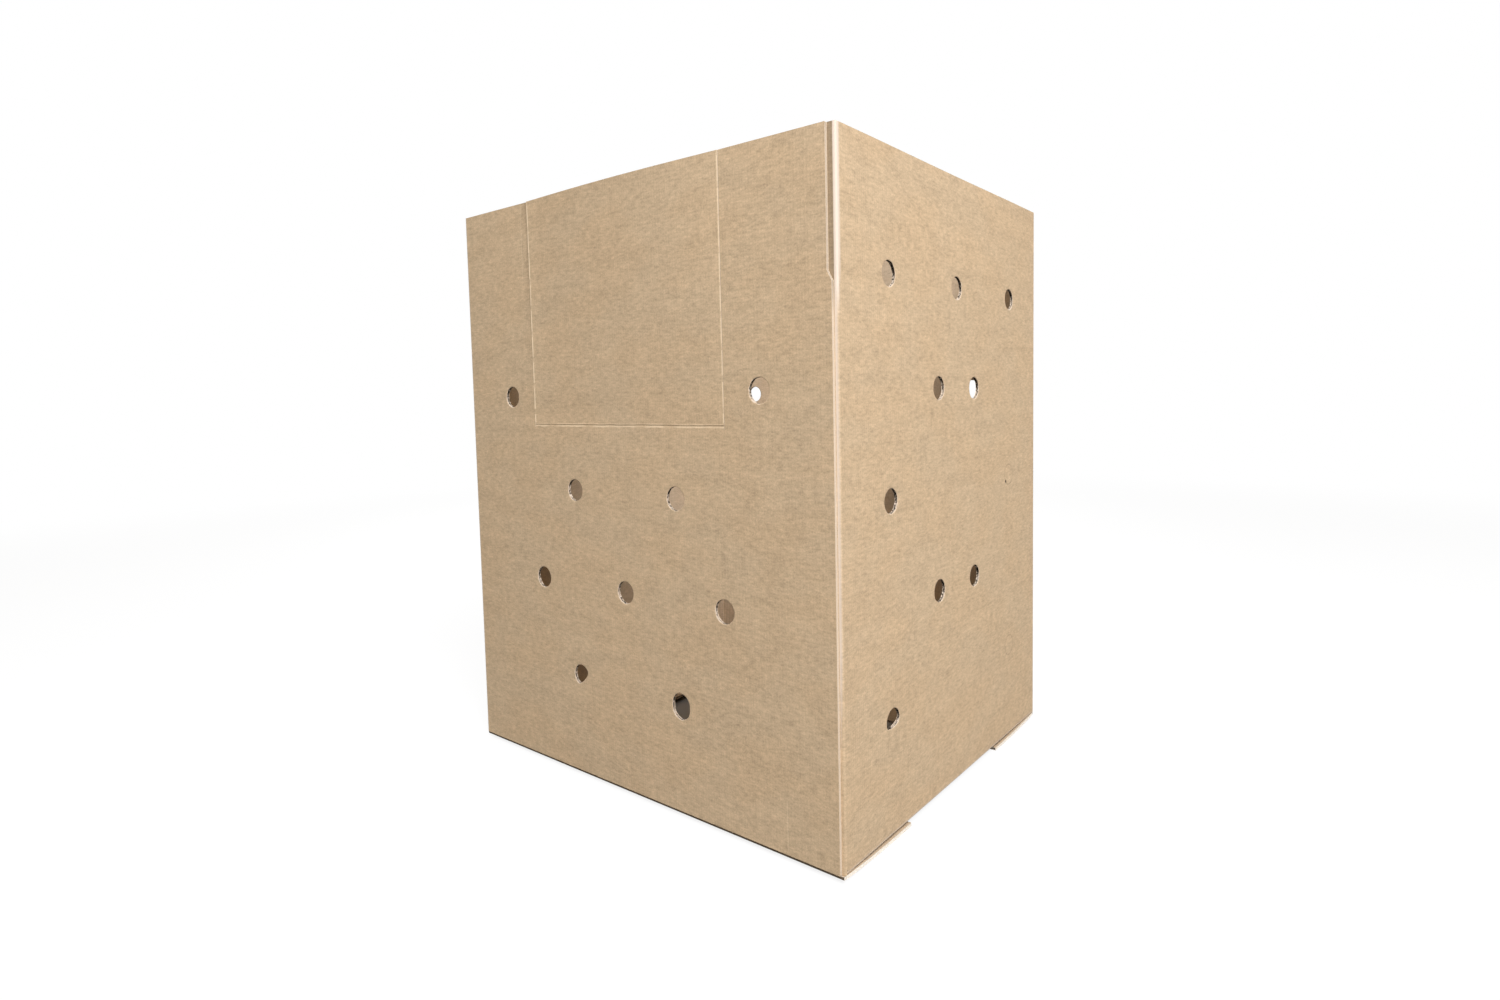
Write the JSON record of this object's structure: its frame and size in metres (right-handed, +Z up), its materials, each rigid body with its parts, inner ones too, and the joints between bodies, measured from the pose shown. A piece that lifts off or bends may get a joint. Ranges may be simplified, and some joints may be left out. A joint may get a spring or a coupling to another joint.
{
  "type": "pallet box",
  "caption": "Tall open-topped corrugated box with a pallet's footprint, round air vents, folded bottom flaps and a fold-down access gate.",
  "frame": {"origin": "middle of the base, on the surface that the box stands on", "axes": "+Z up; X along the long walls; the front wall, with the gate, faces -Y; the glued corner is at +X, -Y"},
  "size_m": [1.2, 1, 1.44],
  "materials": {
    "kraft_board": "matte kraft"
  },
  "bodies": {
    "walls": {"box_walls": "kraft_board"},
    "gate": {"access_gate": "kraft_board"},
    "front_flap": {"front_bottom_flap": "kraft_board"},
    "back_flap": {"back_bottom_flap": "kraft_board"}
  },
  "joints": [
    {"name": "gate_score", "type": "hinge", "parent": "walls", "child": "gate", "pos_m": [0, -0.5005, 0.8834], "axis": [1, 0, 0], "range_deg": [0, 175]},
    {"name": "front_flap_fold", "type": "hinge", "parent": "walls", "child": "front_flap", "pos_m": [0, -0.4965, 0.0124], "axis": [-1, 0, 0], "range_deg": [0, 175]},
    {"name": "back_flap_fold", "type": "hinge", "parent": "walls", "child": "back_flap", "pos_m": [0, 0.4965, 0.0124], "axis": [1, 0, 0], "range_deg": [0, 175]}
  ]
}
